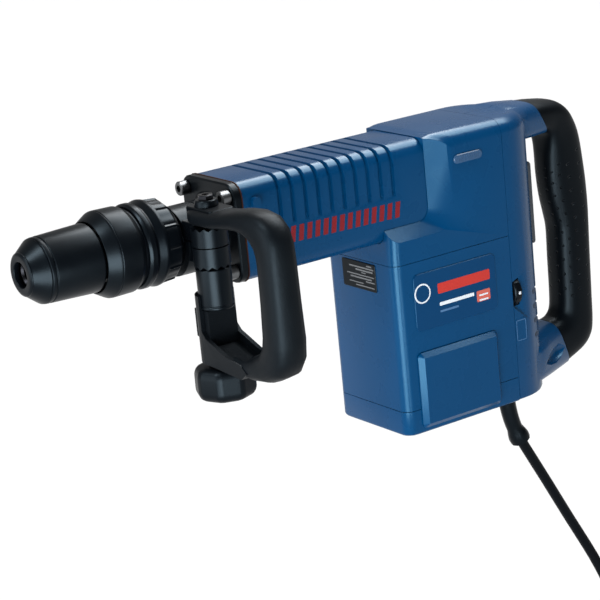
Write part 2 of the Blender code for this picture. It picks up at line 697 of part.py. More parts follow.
# ---------------------------------------------------------------- side handle
def build_clamp():
    ring = []
    for k in range(40):
        turn = math.tau * k / 40
        ring.append((28.4 * math.cos(turn), -4.5 + 28.4 * math.sin(turn)))
    band = prism("clamp_band", ring, "X", 136.0, 157.8, BLACK_SATIN)
    arm = box("lug_arm", (136.6, POST_Y, -16.0), (154.4, -15.0, 16.0), radius=1.0)
    teeth = 13
    loops = []
    for radius, level in ((7.0, 0.0), (8.0, 1.0), (LUG_R, 1.0), (LUG_R, -1.0), (8.0, -1.0), (7.0, 0.0)):
        loop = []
        for k in range(teeth * 2):
            turn = math.tau * k / (teeth * 2)
            rise = -2.4 * (k % 2) if radius > 7.5 else 0.0
            z = (math.copysign(LUG_Z + rise, level) if level
                 else math.copysign(LUG_Z - 2.4, 1 if not loops else -1))
            loop.append((POST_X + radius * math.cos(turn), POST_Y + radius * math.sin(turn), z))
        loops.append(loop)
    points, faces = skin(loops)
    lug = solid("toothed_lug", points, faces, None, smooth=False)
    boolean(band, "UNION", arm, lug)
    boolean(
        band, "DIFFERENCE",
        rod("band_hole", 120.0, 160.0, NECK_R + GAP, None, sides=36),
        rod("lug_hole", -30.0, 30.0, BOLT_R + GAP, None, (POST_X, POST_Y, 0.0), "Z"),
        box("lug_split", (120.0, -80.0, 0.2), (160.0, -15.0, 1.2), radius=0.1),
    )
    turned("clamp_sleeve", ((-49.8, BOLT_R + GAP), (-49.8, 13.4), (-49.0, 14.2), (-17.6, 14.2), (-17.0, 13.6),
                            (-17.0, BOLT_R + GAP)), BLACK_SATIN, (POST_X, POST_Y, 0.0), "Z")
    turned("clamp_bolt", ((-116.0, 3.6), (-115.6, BOLT_R), (26.6, BOLT_R), (26.9, 7.2), (30.6, 7.2),
                          (31.0, 6.8)), STEEL, (POST_X, POST_Y, 0.0), "Z", hollow=False)
    turned("clamp_washer", ((-96.6, BOLT_R + GAP), (-96.6, 11.6), (-94.6, 11.6), (-94.6, BOLT_R + GAP)),
           STEEL, (POST_X, POST_Y, 0.0), "Z")
    turned("clamp_knob", ((-124.6, 17.6), (-122.0, 21.8), (-118.0, 23.4), (-103.0, 23.2), (-98.6, 21.6),
                          (-96.9, 18.6), (-96.9, BOLT_R + GAP), (-118.0, BOLT_R + GAP), (-118.2, 0.6),
                          (-124.2, 0.6)),
           BLACK_PLASTIC, (POST_X, POST_Y, 0.0), "Z", hollow=False, sides=48, lobe=knob_lobe)


def knob_lobe(along, radius, turn):
    """Eight broad flats round the knob."""
    if radius < 17.0:
        return radius
    return radius - 1.5 * (0.5 + 0.5 * math.cos(8 * turn)) ** 2


def build_bow():
    stations = []
    for y in (-37.2, -39.0, -42.5, -47.0, POST_Y):
        half = math.sqrt(16.2 ** 2 - (y - POST_Y) ** 2)
        stations.append(((y, 31.6), (y, 17.4), half))
    stations += [
        ((-72.0, 31.8), (-72.0, 17.6), 15.8),
        ((-90.0, 33.6), (-89.0, 19.6), 15.0),
        ((-106.0, 37.0), (-105.0, 20.4), 14.4),
        ((-125.0, 38.8), (-116.0, 19.0), 14.0),
        ((-142.0, 36.6), (-123.0, 14.6), 13.8),
        ((-152.6, 29.0), (-127.6, 8.6), 13.6),
        ((-157.2, 17.0), (-129.6, 2.0), 13.6),
        ((-158.0, 0.0), (-130.2, -6.0), 13.8),
        ((-158.6, -30.0), (-130.0, -30.0), 14.2),
        ((-159.4, -60.0), (-129.0, -57.0), 15.0),
        ((-157.4, -76.0), (-126.8, -66.0), 15.2),
        ((-149.0, -88.0), (-121.0, -72.5), 15.4),
        ((-134.0, -95.0), (-113.0, -76.6), 15.8),
        ((-115.0, -97.0), (-104.0, -79.0), 16.4),
        ((-96.0, -96.0), (-92.0, -78.0), 16.8),
    ]
    bow = bar("bow_handle", stations, "YZ", 2.8, BLACK_MATTE, (POST_X, 0.0, 0.0), (POST_X, POST_Y, 0.0), 20)
    tray = prism(
        "tray_blank",
        ((-36.0, -38.0), (-53.0, -38.0), (-53.0, -67.0), (-58.0, -72.0), (-84.0, -81.5), (-104.0, -84.0),
         (-112.0, -90.0), (-104.0, -96.0), (-72.0, -94.0), (-40.0, -93.0), (-36.0, -88.0)),
        "X", POST_X - 17.0, POST_X + 17.0,
    )
    plan = [(POST_X - 17.0, -120.0), (POST_X - 17.0, POST_Y)]
    for k in range(1, 16):
        turn = math.pi * (1 - k / 16)
        plan.append((POST_X + 17.0 * math.cos(turn), POST_Y + 17.0 * math.sin(turn)))
    plan += [(POST_X + 17.0, POST_Y), (POST_X + 17.0, -120.0)]
    boolean(tray, "INTERSECT", prism("tray_plan", plan, "Z", -110.0, 0.0))
    boolean(bow, "UNION", tray)
    channel = prism(
        "tray_channel",
        ((-39.4, -50.1), (-39.4, -66.0), (-43.0, -72.0), (-50.0, -77.0), (-62.0, -81.0), (-88.0, -89.0),
         (-100.0, -88.6), (-108.0, -84.0), (-113.0, -74.0), (-113.0, -30.0), (-60.0, -30.0), (-60.0, -50.1)),
        "X", POST_X - 13.4, POST_X + 13.4,
    )
    socket = rod("sleeve_socket", -50.1, -20.0, 14.6, None, (POST_X, POST_Y, 0.0), "Z", sides=40)
    way = rod("bolt_way", -120.0, 60.0, BOLT_R + GAP, None, (POST_X, POST_Y, 0.0), "Z")
    head = rod("head_way", 26.6, 60.0, 7.8, None, (POST_X, POST_Y, 0.0), "Z")
    boolean(bow, "DIFFERENCE", channel, socket, way, head)


# ---------------------------------------------------------------- cord
def build_cord():
    relief = [(x, 0.0, z) for x, z in RELIEF_ROUTE]
    curve = spline(relief, 4)
    loops = []
    for k, spot in enumerate(curve):
        ahead = curve[min(k + 1, len(curve) - 1)] - curve[max(k - 1, 0)]
        ahead.normalize()
        across = Vector((0.0, 1.0, 0.0)).cross(ahead)
        radius = 8.2 - 1.2 * k / (len(curve) - 1)
        if k >= len(curve) - 3:
            radius = (8.6, 9.6, 9.4)[k - len(curve) + 3]
        loop = []
        for j in range(12):
            turn = math.tau * j / 12
            rim = Vector((0.0, 1.0, 0.0)) * math.cos(turn) + across * math.sin(turn)
            loop.append(tuple(spot + radius * rim))
        loops.append(loop)
    points, faces = skin(loops)
    solid("strain_relief", points, faces, RUBBER)
    tube("cord", CORD_ROUTE, CORD_D, CORD_RUBBER)
    half = 2 * TURN_STEP - 0.2
    inner = TURN_RADIUS - 1.5 * TURN_STEP
    outer = TURN_RADIUS + 1.5 * TURN_STEP
    turned("cord_coil", ((-half, inner + 3.0), (-half, outer - 3.0), (-half + 3.0, outer),
                         (half - 3.0, outer), (half, outer - 3.0), (half, inner + 3.0), (half - 3.0, inner),
                         (-half + 3.0, inner)),
           CORD_RUBBER, COIL_CENTRE, "Y", sides=32)
    tube("cord_tail", TAIL_ROUTE, CORD_D, CORD_RUBBER)
    x, y, z = PLUG_TOP
    turned("plug_body", ((z - 58.0, 15.0), (z - 57.0, 18.4), (z - 34.0, 18.4), (z - 24.0, 11.0),
                         (z - 0.4, 7.6), (z, 6.6)), BLACK_MATTE, (x, y, 0.0), "Z", hollow=False)
    for k, side in enumerate((-1, 1)):
        rod(f"plug_pin_{k + 1}", z - 77.0, z - 58.3, 2.4, BRASS, (x + side * 9.5, y, 0.0), "Z", sides=16)


for old in list(bpy.data.objects):
    bpy.data.objects.remove(old, do_unlink=True)

ROOT = bpy.data.objects.new("machine", None)
bpy.context.scene.collection.objects.link(ROOT)
ROOT.location = [-c * MM for c in GRIP_CENTRE]

BLUE = material("blue_plastic", (0.02, 0.13, 0.34), 0.36)
LABEL_BLUE = material("label_blue", (0.02, 0.12, 0.32), 0.42)
BLACK_GLOSS = material("black_gloss", (0.014, 0.015, 0.017), 0.3)
BLACK_SATIN = material("black_satin", (0.018, 0.019, 0.021), 0.42)
BLACK_PLASTIC = material("black_plastic", (0.02, 0.021, 0.023), 0.4)
BLACK_MATTE = material("black_matte", (0.022, 0.023, 0.025), 0.6)
RUBBER = material("rubber", (0.02, 0.02, 0.022), 0.62)
CORD_RUBBER = material("cord_rubber", (0.016, 0.016, 0.018), 0.5)
GREY = material("grey_plastic", (0.2, 0.21, 0.22), 0.5)
LENS = material("lens", (0.08, 0.24, 0.46), 0.3)
GASKET = material("gasket", (0.3, 0.12, 0.04), 0.6)
STEEL = material("steel", (0.56, 0.57, 0.58), 0.32, 1.0)
ALUMINIUM = material("aluminium", (0.66, 0.67, 0.68), 0.4, 1.0)
COPPER = material("copper", (0.72, 0.38, 0.22), 0.35, 1.0)
BRASS = material("brass", (0.75, 0.6, 0.3), 0.3, 1.0)

build_nose()
build_front()
build_hammer_housing()
build_gear_housing()
build_motor_housing()
build_mechanism()
build_shells()
build_rear_grip()
build_controls()
build_clamp()
build_bow()
build_cord()
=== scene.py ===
"""Looks of the electric jackhammer: its camera and lights, cord, materials and small fittings.

Sizes are millimetres along the drive axis (x), sideways (y, the side handle is on -y) and up (z) from
the middle of the nose's front edge; spot() turns them into metres in the frame.
"""

import math

import bmesh
import bpy
from mathutils import Matrix, Vector


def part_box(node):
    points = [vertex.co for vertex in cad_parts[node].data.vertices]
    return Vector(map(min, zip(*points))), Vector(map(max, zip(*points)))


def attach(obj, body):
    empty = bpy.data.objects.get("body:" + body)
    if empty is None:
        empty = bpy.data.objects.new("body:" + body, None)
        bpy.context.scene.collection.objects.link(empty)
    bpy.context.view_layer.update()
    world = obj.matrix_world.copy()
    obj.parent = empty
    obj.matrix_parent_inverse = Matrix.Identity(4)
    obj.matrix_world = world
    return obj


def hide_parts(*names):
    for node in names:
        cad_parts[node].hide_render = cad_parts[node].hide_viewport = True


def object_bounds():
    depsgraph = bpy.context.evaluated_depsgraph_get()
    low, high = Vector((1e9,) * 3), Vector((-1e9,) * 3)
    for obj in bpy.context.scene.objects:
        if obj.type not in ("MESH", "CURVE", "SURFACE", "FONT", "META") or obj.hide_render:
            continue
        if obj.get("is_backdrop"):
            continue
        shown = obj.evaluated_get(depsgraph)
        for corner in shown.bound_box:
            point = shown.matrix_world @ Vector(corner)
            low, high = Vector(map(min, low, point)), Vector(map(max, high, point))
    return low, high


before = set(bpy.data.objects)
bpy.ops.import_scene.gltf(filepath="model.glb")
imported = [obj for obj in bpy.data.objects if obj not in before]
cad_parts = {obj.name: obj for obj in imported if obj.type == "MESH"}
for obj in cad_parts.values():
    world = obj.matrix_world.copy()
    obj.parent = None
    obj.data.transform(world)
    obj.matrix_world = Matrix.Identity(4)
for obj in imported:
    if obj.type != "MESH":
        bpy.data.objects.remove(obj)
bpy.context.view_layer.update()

MM = 0.001
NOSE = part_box("dust_cap")
ORIGIN = Vector((NOSE[0][0], 0.0, (NOSE[0][2] + NOSE[1][2]) / 2))

# camera, with its angles in degrees
EYE = (-761.2, -1520.7, 436.8)
SIGHT_AZIMUTH = -33.75
SIGHT_ELEVATION = 15.83
ROLL = -5.67
LENS = 136.17

# housings, side handle and dial
HAMMER_HALF_Y = 38.7
HANDLE_HALF_Y = 47.9
POST_X = 141.0
POST_Y = -53.0
POST = (POST_X, POST_Y, 0.0)
DIAL_Z = -113.5
SIDES = (("near", -1), ("far", 1))

# printed marks: how thick the print is, and how far its back is lifted off the wall
PRINT = 0.12
LIFT = 0.02
RING_CENTRE = (345.6, -89.4)
STRIPES = 14
STRIPE_STEP = 8.2
STRIPE_TALL = 13.4
PLATE_LINE_STEP = 2.35
# printed lines of the rating plate from the top: where each starts from the edge, its length and its height
PLATE_LINES = ((3.0, 7.0, 1.4), (0.6, 34.0, 1.3), (2.0, 24.0, 1.5), (12.0, 6.0, 0.9), (0.6, 38.0, 1.0),
               (4.0, 30.0, 1.3), (0.4, 12.0, 1.1), (16.0, 20.0, 0.8), (1.0, 26.0, 1.0))

# finishes: the scale of the slow variation, and how far it moves the roughness
CLOUD_SCALE = 40.0
UNEVEN = 0.06

# cord; the coil starts COIL_START degrees below the side nearest the tool
CORD_D = 9.5
TURN_STEP = 9.7
TURN_RADIUS = 56.7
COIL_CENTRE = (650.7, 0.0, -490.0)
TURNS_DOWN = 3
TURNS_ACROSS = 4
COIL_START = 16.0
CORD_ROUTE = (
    (481.1, 0.0, -270.1),
    (495.9, 0.0, -296.3),
    (508.6, 0.0, -318.8),
    (521.6, 0.0, -342.3),
    (534.0, 0.0, -364.5),
    (546.0, -1.0, -386.5),
    (556.4, -3.2, -407.5),
    (564.7, -6.6, -428.5),
    (571.6, -10.4, -450.0),
    (577.8, -13.4, -472.0),
    (583.0, -14.6, -492.0),
)
TAIL_ROUTE = (
    (607.6, 21.4, -520.0),
    (610.6, 24.9, -531.0),
    (614.4, 27.4, -542.0),
    (617.2, 28.7, -552.0),
    (618.6, 29.0, -561.6),
)


def spot(x, y, z):
    return ORIGIN + Vector((x, y, z)) * MM


# ---------------------------------------------------------------- camera, light and floor
def aim(eye, target):
    return (Vector(target) - Vector(eye)).to_track_quat("-Z", "Y").to_euler()


def build_camera():
    data = bpy.data.cameras.new("camera")
    data.sensor_width = 36.0
    data.lens = LENS
    made = bpy.data.objects.new("camera", data)
    bpy.context.scene.collection.objects.link(made)
    turn = Matrix.Rotation(math.radians(SIGHT_AZIMUTH), 4, "Z")
    tip = Matrix.Rotation(math.radians(90.0 - SIGHT_ELEVATION), 4, "X")
    roll = Matrix.Rotation(math.radians(ROLL), 4, "Z")
    made.matrix_world = Matrix.Translation(spot(*EYE)) @ turn @ tip @ roll
    bpy.context.scene.camera = made


def area_light(name, place, target, size, power, flag):
    """A soft box; what the flag collection leaves out is shaded from it."""
    data = bpy.data.lights.new(name, "AREA")
    data.shape = "RECTANGLE"
    data.size, data.size_y = size
    data.energy = power
    made = bpy.data.objects.new(name, data)
    bpy.context.scene.collection.objects.link(made)
    made.location = place
    made.rotation_euler = aim(place, target)
    made.light_linking.receiver_collection = flag


def build_floor():
    """A wide pale floor. Returns the flag collection, which keeps the soft boxes off it."""
    mesh = bpy.data.meshes.new("floor")
    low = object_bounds()[0][2] - 0.01
    reach = 80.0
    corners = [(-reach, -reach, low), (reach, -reach, low), (reach, reach, low), (-reach, reach, low)]
    mesh.from_pydata(corners, [], [(0, 1, 2, 3)])
    floor = bpy.data.objects.new("floor", mesh)
    bpy.context.scene.collection.objects.link(floor)
    mesh.materials.append(surface("pale_floor", (0.95, 0.95, 0.95), 0.7))
    floor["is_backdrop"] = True
    flag = bpy.data.collections.new("floor_flag")
    flag.objects.link(floor)
    flag.collection_objects[0].light_linking.link_state = "EXCLUDE"
    return flag


def build_studio():
    """A sun, four soft boxes and a white room that is brighter behind the tool."""
    flag = build_floor()
    sun = bpy.data.lights.new("sun", "SUN")
    sun.energy = 3.5
    sun.angle = math.radians(20.0)
    high = bpy.data.objects.new("sun", sun)
    bpy.context.scene.collection.objects.link(high)
    high.rotation_euler = aim((-0.75, 0.05, 1.0), (0.0, 0.0, 0.0))
    for name, place, target, size, power in (
        ("front_strip", (-560.0, -880.0, -420.0), (320.0, -49.0, -130.0), (0.8, 1.0), 54.0),
        ("step_strip", (120.0, -1240.0, -430.0), (375.0, -44.0, -10.0), (0.2, 0.7), 7.0),
        ("over_box", (1150.0, 200.0, 1300.0), (300.0, 0.0, -60.0), (1.6, 0.7), 62.0),
        ("nose_box", (-1300.0, 100.0, 120.0), (60.0, 0.0, 0.0), (1.2, 1.2), 24.0),
    ):
        area_light(name, spot(*place), spot(*target), size, power, flag)
    world = bpy.data.worlds.new("studio")
    world.use_nodes = True
    tree = world.node_tree
    shade = tree.nodes["Background"]
    shade.inputs["Color"].default_value = (1.0, 1.0, 1.0, 1.0)
    place = tree.nodes.new("ShaderNodeTexCoord")
    split = tree.nodes.new("ShaderNodeSeparateXYZ")
    ramp = tree.nodes.new("ShaderNodeMapRange")
    ramp.inputs["From Min"].default_value = -0.2
    ramp.inputs["From Max"].default_value = 0.9
    ramp.inputs["To Min"].default_value = 0.16
    ramp.inputs["To Max"].default_value = 0.42
    link(tree, place.outputs["Generated"], split.inputs["Vector"])
    link(tree, split.outputs["Y"], ramp.inputs["Value"])
    link(tree, ramp.outputs["Result"], shade.inputs["Strength"])
    bpy.context.scene.world = world
    bpy.context.scene.view_settings.view_transform = "Standard"


# ---------------------------------------------------------------- materials
def link(tree, source, target):
    tree.links.new(source, target)


def surface(name, colour, roughness, metallic=0.0, grain=None, mottle=0.0, shine=0.4, tint=(1.0, 1.0, 1.0)):
    """A finish with slight colour and gloss variation, and a grain of (scale, depth in mm)."""
    made = bpy.data.materials.new(name)
    made.use_nodes = True
    tree = made.node_tree
    nodes = tree.nodes
    shader = nodes["Principled BSDF"]
    shader.inputs["Metallic"].default_value = metallic
    shader.inputs["Specular IOR Level"].default_value = shine
    shader.inputs["Specular Tint"].default_value = (*tint, 1.0)
    place = nodes.new("ShaderNodeTexCoord")
    cloud = nodes.new("ShaderNodeTexNoise")
    cloud.inputs["Scale"].default_value = CLOUD_SCALE
    cloud.inputs["Detail"].default_value = 4.0
    link(tree, place.outputs["Object"], cloud.inputs["Vector"])
    tone = nodes.new("ShaderNodeMix")
    tone.data_type = "RGBA"
    tone.inputs["A"].default_value = (*[c * (1 - mottle) for c in colour], 1.0)
    tone.inputs["B"].default_value = (*[min(1.0, c * (1 + mottle)) for c in colour], 1.0)
    link(tree, cloud.outputs["Fac"], tone.inputs["Factor"])
    link(tree, tone.outputs["Result"], shader.inputs["Base Color"])
    gloss = nodes.new("ShaderNodeMapRange")
    gloss.inputs["To Min"].default_value = max(0.02, roughness - UNEVEN)
    gloss.inputs["To Max"].default_value = min(1.0, roughness + UNEVEN)
    link(tree, cloud.outputs["Fac"], gloss.inputs["Value"])
    link(tree, gloss.outputs["Result"], shader.inputs["Roughness"])
    if grain:
        fine = nodes.new("ShaderNodeTexNoise")
        fine.inputs["Scale"].default_value = grain[0]
        fine.inputs["Detail"].default_value = 2.0
        link(tree, place.outputs["Object"], fine.inputs["Vector"])
        bump = nodes.new("ShaderNodeBump")
        bump.inputs["Strength"].default_value = 0.6
        bump.inputs["Distance"].default_value = grain[1] * MM
        link(tree, fine.outputs["Fac"], bump.inputs["Height"])
        link(tree, bump.outputs["Normal"], shader.inputs["Normal"])
    return made


def brushed(name, colour, roughness):
    """Turned metal, whose fine lines run round the drive axis."""
    made = surface(name, colour, roughness, 1.0, grain=(900.0, 0.02), mottle=0.12)
    tree = made.node_tree
    stretch = tree.nodes.new("ShaderNodeMapping")
    stretch.inputs["Scale"].default_value = (6.0, 0.4, 0.4)
    place = next(n for n in tree.nodes if n.type == "TEX_COORD")
    for target in [n.inputs["Vector"] for n in tree.nodes if n.type == "TEX_NOISE"]:
        link(tree, stretch.outputs["Vector"], target)
    link(tree, place.outputs["Object"], stretch.inputs["Vector"])
    return made


def dimpled(name, colour, roughness, across, pitch, top, bottom):
    """Moulded rubber with staggered rows of small dimples between two lengths along the grip."""
    made = surface(name, colour, roughness, mottle=0.15, shine=0.08, tint=DIM)
    tree = made.node_tree
    nodes = tree.nodes
    chart = nodes.new("ShaderNodeUVMap")
    chart.uv_map = "wrap"
    pattern = nodes.new("ShaderNodeTexVoronoi")
    pattern.inputs["Scale"].default_value = 1.0
    pattern.inputs["Randomness"].default_value = 0.0
    stretch = nodes.new("ShaderNodeMapping")
    stretch.inputs["Scale"].default_value = (across / math.sqrt(2), 1 / pitch / MM / math.sqrt(2), 1.0)
    stretch.inputs["Rotation"].default_value = (0.0, 0.0, math.radians(45.0))
    link(tree, chart.outputs["UV"], stretch.inputs["Vector"])
    link(tree, stretch.outputs["Vector"], pattern.inputs["Vector"])
    pit = nodes.new("ShaderNodeMapRange")
    pit.interpolation_type = "SMOOTHSTEP"
    pit.inputs["From Min"].default_value = 0.05
    pit.inputs["From Max"].default_value = 0.15
    pit.inputs["To Min"].default_value = -1.0
    pit.inputs["To Max"].default_value = 0.0
    link(tree, pattern.outputs["Distance"], pit.inputs["Value"])
    split = nodes.new("ShaderNodeSeparateXYZ")
    link(tree, chart.outputs["UV"], split.inputs["Vector"])
    height = pit.outputs["Result"]
    for operation, limit in (("GREATER_THAN", top), ("LESS_THAN", bottom)):
        gate = nodes.new("ShaderNodeMath")
        gate.operation = operation
        gate.inputs[1].default_value = limit * MM
        link(tree, split.outputs["Y"], gate.inputs[0])
        joined = nodes.new("ShaderNodeMath")
        joined.operation = "MULTIPLY"
        link(tree, height, joined.inputs[0])
        link(tree, gate.outputs["Value"], joined.inputs[1])
        height = joined.outputs["Value"]
    bump = nodes.new("ShaderNodeBump")
    bump.inputs["Strength"].default_value = 1.0
    bump.inputs["Distance"].default_value = 1.0 * MM
    link(tree, height, bump.inputs["Height"])
    link(tree, bump.outputs["Normal"], nodes["Principled BSDF"].inputs["Normal"])
    return made


def polish(made, edge, angle=34.0):
    """Joins the split corners of a mesh, rounds its sharp edges slightly and shades the rest smooth."""
    mesh = made.data
    if mesh.has_custom_normals:
        mesh.attributes.remove(mesh.attributes["custom_normal"])
    mesh.polygons.foreach_set("use_smooth", [True] * len(mesh.polygons))
    weld = made.modifiers.new("Weld", "WELD")
    weld.merge_threshold = 0.00001
    if edge:
        bevel = made.modifiers.new("Edges", "BEVEL")
        bevel.width = edge * MM
        bevel.segments = 2
        bevel.limit_method = "ANGLE"
        bevel.angle_limit = math.radians(angle)
        bevel.harden_normals = True
    split = made.modifiers.new("Sharp", "EDGE_SPLIT")
    split.split_angle = math.radians(angle)


def dress(look, *nodes, edge=0.0):
    for node in nodes:
        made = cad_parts[node]
        made.data.materials.clear()
        made.data.materials.append(look)
        polish(made, edge)


# ---------------------------------------------------------------- pieces
def piece(name, points, faces, look, body, slot, smooth=True):
    """A mesh piece from points in millimetres, which rides on a body."""
    mesh = bpy.data.meshes.new(name)
    mesh.from_pydata([spot(*p) for p in points], [], faces)
    tidy = bmesh.new()
    tidy.from_mesh(mesh)
    bmesh.ops.recalc_face_normals(tidy, faces=tidy.faces)
    tidy.to_mesh(mesh)
    tidy.free()
    mesh.materials.append(look)
    if smooth:
        mesh.shade_smooth()
        mesh.set_sharp_from_angle(angle=math.radians(35))
    made = bpy.data.objects.new(name, mesh)
    bpy.context.scene.collection.objects.link(made)
    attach(made, body)
    return made


def skin(loops, wrap=False):
    """Joins equal cross-sections, and either closes the ends or joins the last one to the first."""
    count = len(loops[0])
    points = [p for loop in loops for p in loop]
    faces = []
    for i in range(len(loops) if wrap else len(loops) - 1):
        a = i * count
        b = (i + 1) % len(loops) * count
        for j in range(count):
            k = (j + 1) % count
            faces.append((a + j, a + k, b + k, b + j))
    if not wrap:
        faces.append(tuple(range(count))[::-1])
        faces.append(tuple(range(len(points) - count, len(points))))
    return points, faces


def rounded(a, b, radius, steps=5):
    """The outline of a rectangle between corners a and b, with round corners."""
    centres = (
        (b[0] - radius, b[1] - radius),
        (a[0] + radius, b[1] - radius),
        (a[0] + radius, a[1] + radius),
        (b[0] - radius, a[1] + radius),
    )
    outline = []
    for quarter, (u, v) in enumerate(centres):
        for k in range(steps + 1):
            turn = math.pi / 2 * (quarter + k / steps)
            outline.append((u + radius * math.cos(turn), v + radius * math.sin(turn)))
    return outline


def eased(outline, trim=0.5, steps=3):
    """Rounds every corner of a closed outline."""
    made = []
    knots = [Vector(p) for p in outline]
    for before, here, after in zip(knots[-1:] + knots[:-1], knots, knots[1:] + knots[:1]):
        back = before - here
        ahead = after - here
        start = here + back.normalized() * min(trim, back.length * 0.45)
        end = here + ahead.normalized() * min(trim, ahead.length * 0.45)
        for k in range(steps + 1):
            t = k / steps
            made.append(start * (1 - t) ** 2 + here * 2 * t * (1 - t) + end * t * t)
    return made


def turned(name, profile, look, body, slot, node=None, centre=(0.0, 0.0, 0.0), axis="X", sides=96, lobe=None,
           trim=0.5):
    """A ring turned round an axis from a closed outline of (along, radius)."""
    loops = []
    for along, radius in eased(profile, trim):
        loop = []
        for k in range(sides):
            turn = math.tau * k / sides
            r = lobe(along, radius, turn) if lobe else radius
            across = (r * math.cos(turn), r * math.sin(turn))
            place = (along, *across) if axis == "X" else (*across, along)
            loop.append(tuple(c + p for c, p in zip(centre, place)))
        loops.append(loop)
    made = piece(name, *skin(loops, wrap=True), look, body, slot)
    if node:
        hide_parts(node)
    return made


def bar(stations, power, steps, sides):
    """Smooth cross-sections in the x-z plane between pairs of (outer, inner) points with a half width."""
    flat = [Vector((*outer, *inner)) for outer, inner, half in stations]
    halves = [half for outer, inner, half in stations]
    loops = []
    for i in range(len(flat) - 1):
        picks = [max(0, i - 1), i, i + 1, min(len(flat) - 1, i + 2)]
        for k in range(steps + (i == len(flat) - 2)):
            t = k / steps
            w = (-0.5 * t + t * t - 0.5 * t ** 3, 1 - 2.5 * t * t + 1.5 * t ** 3,
                 0.5 * t + 2 * t * t - 1.5 * t ** 3, -0.5 * t * t + 0.5 * t ** 3)
            ends = sum((flat[p] * c for p, c in zip(picks, w)), Vector((0.0, 0.0, 0.0, 0.0)))
            half = sum(halves[p] * c for p, c in zip(picks, w))
            loop = []
            for j in range(sides):
                turn = math.tau * j / sides
                u = math.copysign(abs(math.cos(turn)) ** (2 / power), math.cos(turn))
                v = math.copysign(abs(math.sin(turn)) ** (2 / power), math.sin(turn))
                middle = (ends.xy + ends.zw) / 2
                reach = (ends.xy - ends.zw) / 2
                place = middle + reach * u
                loop.append((place.x, half * v, place.y))
            loops.append(loop)
    return loops


def mark(name, outline, wall, thick, look, body="housing", plane="y", slot="label_blue"):
    """A thin printed mark on a side wall (outline in x and z) or a front wall (outline in y and z)."""
    loops = []
    for level in (wall, wall + thick):
        loops.append([(u, level, v) if plane == "y" else (level, u, v) for u, v in outline])
    return piece(name, *skin(loops), look, body, slot, smooth=False)


def pad(name, outline, y, thick, look, body="housing", slot="blue_plastic"):
    """A thin plate on a side wall: its outline is in x and z, and it stands out from y."""
    loops = [[(u, y, v) for u, v in outline], [(u, y + thick, v) for u, v in outline]]
    return piece(name, *skin(loops), look, body, slot)


# ---------------------------------------------------------------- cord
def smooth_route(route, per_span):
    ends = [2 * Vector(route[0]) - Vector(route[1]), 2 * Vector(route[-1]) - Vector(route[-2])]
    knots = [ends[0], *map(Vector, route), ends[1]]
    curve = []
    for a, b, c, d in zip(knots, knots[1:], knots[2:], knots[3:]):
        for k in range(per_span):
            t = k / per_span
            curve.append(0.5 * (2 * b + (c - a) * t + (2 * a - 5 * b + 4 * c - d) * t * t
                                + (3 * b - a - 3 * c + d) * t ** 3))
    curve.append(knots[-2])
    return curve


def coil_turns():
    """The turns of the coil, outer layer first, each layer laid from side to side and back."""
    places = []
    for layer in range(TURNS_DOWN):
        across = range(TURNS_ACROSS) if layer % 2 == 0 else range(TURNS_ACROSS)[::-1]
        places += [(TURN_RADIUS + (1 - layer) * TURN_STEP, (k - 1.5) * TURN_STEP) for k in across]
    points = []
    per_turn = 30
    for number, (radius, side) in enumerate(places[:-1]):
        ahead = places[number + 1]
        for k in range(per_turn):
            turn = math.radians(COIL_START) + math.tau * k / per_turn
            late = max(0.0, (k / per_turn - 0.6) / 0.4)
            blend = late * late * (3 - 2 * late)
            r = radius + (ahead[0] - radius) * blend
            y = side + (ahead[1] - side) * blend
            x = COIL_CENTRE[0] - r * math.cos(turn)
            z = COIL_CENTRE[2] - r * math.sin(turn)
            points.append(Vector((x, y, z)))
    return points


def build_tie(look):
    """A strap that holds the turns of the coil together on the side away from the tool."""
    low, high = TURN_RADIUS - 1.5 * TURN_STEP - 0.6, TURN_RADIUS + 1.5 * TURN_STEP + 0.6
    half = TURNS_ACROSS * TURN_STEP / 2 + 0.6
    outer = rounded((low - 1.2, -half - 1.2), (high + 1.2, half + 1.2), 5.0)
    inner = rounded((low, -half), (high, half), 4.0)
    loops = []
    for outline, z in ((outer, -5.0), (outer, 5.0), (inner, 5.0), (inner, -5.0)):
        loops.append([(COIL_CENTRE[0] + u, v, COIL_CENTRE[2] + z) for u, v in outline])
    return piece("cord_tie", *skin(loops, wrap=True), look, "housing", "black_plastic")


def build_cord(look, tie_look):
    route = smooth_route(CORD_ROUTE, 2)[:-1] + smooth_route([*CORD_ROUTE[-1:], *coil_turns(), *TAIL_ROUTE], 1)
    curve = bpy.data.curves.new("mains_cord", "CURVE")
    curve.dimensions = "3D"
    line = curve.splines.new("POLY")
    line.points.add(len(route) - 1)
    for point, place in zip(line.points, route):
        point.co = (*spot(*place), 1.0)
    curve.bevel_depth = CORD_D / 2 * MM
    curve.bevel_resolution = 4
    curve.use_fill_caps = True
    curve.materials.append(look)
    made = bpy.data.objects.new("mains_cord", curve)
    bpy.context.scene.collection.objects.link(made)
    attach(made, "housing")
    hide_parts("cord", "cord_coil", "cord_tail")
    build_tie(tie_look)


# ---------------------------------------------------------------- finer rings, grip and knob
def panel_lobe(along, radius, turn):
    """Twelve finger panels with thin ridges between them, behind the bead of the ring."""
    if along < 115.2 or radius < 27.0:
        return radius
    phase = (turn * 12 / math.tau) % 1.0 - 0.5
    ridge = max(0.0, 1.0 - abs(abs(phase) - 0.5) * 22)
    return radius - 0.75 * (1.0 - ridge) - 0.35 * math.cos(phase * math.tau) ** 2 * (1.0 - ridge)


def knob_lobe(along, radius, turn):
    """Eight broad flats round the knob."""
    if radius < 17.0:
        return radius
    phase = (turn * 8 / math.tau) % 1.0 - 0.5
    return min(radius, radius * 1.035 * math.cos(math.pi / 8) / math.cos(phase * math.pi / 4))


